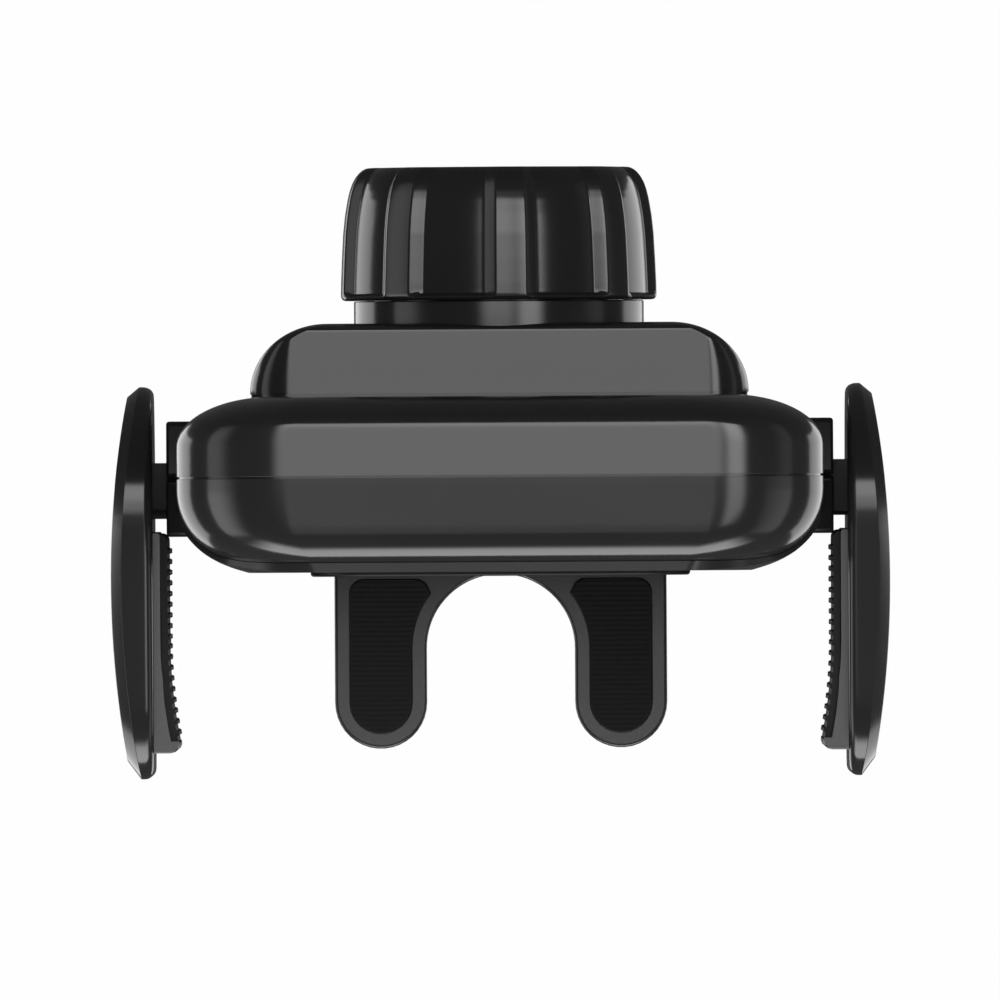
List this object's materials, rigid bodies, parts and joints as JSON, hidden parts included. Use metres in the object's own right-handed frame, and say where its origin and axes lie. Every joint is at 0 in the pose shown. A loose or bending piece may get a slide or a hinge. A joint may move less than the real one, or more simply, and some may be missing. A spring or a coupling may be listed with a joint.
{
  "type": "car wireless phone charger",
  "caption": "Phone cradle with motor-driven clamping arms, a forked sliding foot, a charging face and a ribbed collar nut over a split ball socket.",
  "frame": {"origin": "centre of the ball socket behind the cradle", "axes": "+Y back along the socket's axis, out of the nut's mouth; +Z to the cradle's top end; +X to its right as seen from behind the cradle with the top end up on screen; the phone lies on the -Y side"},
  "size_m": [0.0778, 0.061, 0.1085],
  "materials": {
    "shell_plastic": "satin black moulding",
    "panel_plastic": "glossy black sheet",
    "arm_plastic": "glossy black moulding",
    "nut_plastic": "satin black moulding",
    "carrier_plastic": "dark grey moulding",
    "grip_rubber": "ribbed soft black",
    "pad_rubber": "fine-lined soft black",
    "foot_plastic": "satin black moulding",
    "gear_plastic": "natural acetal",
    "plate_plastic": "dark grey moulding",
    "axle_steel": "ground steel",
    "screw_steel": "zinc-plated steel",
    "motor_steel": "pressed steel can",
    "port_steel": "stamped steel",
    "coil_wire": "enamelled copper wire",
    "ferrite": "sintered ferrite",
    "board_laminate": "green solder mask",
    "chip_black": "moulded packages",
    "cell_sleeve": "shrink sleeve"
  },
  "bodies": {
    "cradle": {"rear_shell": "shell_plastic", "front_shell": "shell_plastic", "front_panel": "panel_plastic", "front_pad": "pad_rubber", "joint_base": "shell_plastic", "gear_plate": "plate_plastic", "drive_axle": "axle_steel", "reducer_axle": "axle_steel", "clamp_motor": "motor_steel", "charging_coil": "coil_wire", "ferrite_sheet": "ferrite", "main_board": "board_laminate", "board_chips": "chip_black", "usb_port": "port_steel", "backup_cell": "cell_sleeve", "housing_screws": "screw_steel", "base_screws": "screw_steel"},
    "right_arm": {"arm_slider_right": "arm_plastic", "arm_cover_right": "arm_plastic", "pad_carrier_right": "carrier_plastic", "grip_pad_right": "grip_rubber"},
    "left_arm": {"arm_slider_left": "arm_plastic", "arm_cover_left": "arm_plastic", "pad_carrier_left": "carrier_plastic", "grip_pad_left": "grip_rubber"},
    "drive_gear": {"drive_gear": "gear_plastic"},
    "reducer_gear": {"reducer_gear": "gear_plastic"},
    "motor_pinion": {"motor_pinion": "gear_plastic"},
    "foot": {"foot_bracket": "foot_plastic", "foot_pad_left": "pad_rubber", "foot_pad_right": "pad_rubber"},
    "collar_nut": {"collar_nut": "nut_plastic"}
  },
  "joints": [
    {"name": "right_arm_slide", "type": "slide", "parent": "cradle", "child": "right_arm", "axis": [1, 0, 0], "range_m": [0, 0.011]},
    {"name": "left_arm_slide", "type": "slide", "parent": "cradle", "child": "left_arm", "axis": [-1, 0, 0], "range_m": [0, 0.011]},
    {"name": "drive_gear_turn", "type": "hinge", "parent": "cradle", "child": "drive_gear", "pos_m": [0, -0.02, -0.006], "axis": [0, 1, 0], "range_deg": [0, 175.1]},
    {"name": "reducer_gear_turn", "type": "hinge", "parent": "cradle", "child": "reducer_gear", "pos_m": [-0.00928, -0.0142, -0.01528], "axis": [0, 1, 0], "range_deg": [-583.7, 0]},
    {"name": "motor_pinion_turn", "type": "hinge", "parent": "cradle", "child": "motor_pinion", "pos_m": [0.00001, -0.0154, -0.02307], "axis": [0, 1, 0], "range_deg": [0, 1750.9]},
    {"name": "foot_slide", "type": "slide", "parent": "cradle", "child": "foot", "axis": [0, 0, -1], "range_m": [0, 0.012]},
    {"name": "collar_nut_turn", "type": "hinge", "parent": "cradle", "child": "collar_nut", "pos_m": [0, 0, 0], "axis": [0, 1, 0], "range_deg": [0, 360]}
  ],
  "couplings": [
    {"joint": "left_arm_slide", "follows": "right_arm_slide", "ratio": 1},
    {"joint": "drive_gear_turn", "follows": "right_arm_slide", "rad_per_m": 277.78},
    {"joint": "reducer_gear_turn", "follows": "right_arm_slide", "rad_per_m": -925.93},
    {"joint": "motor_pinion_turn", "follows": "right_arm_slide", "rad_per_m": 2777.8}
  ]
}
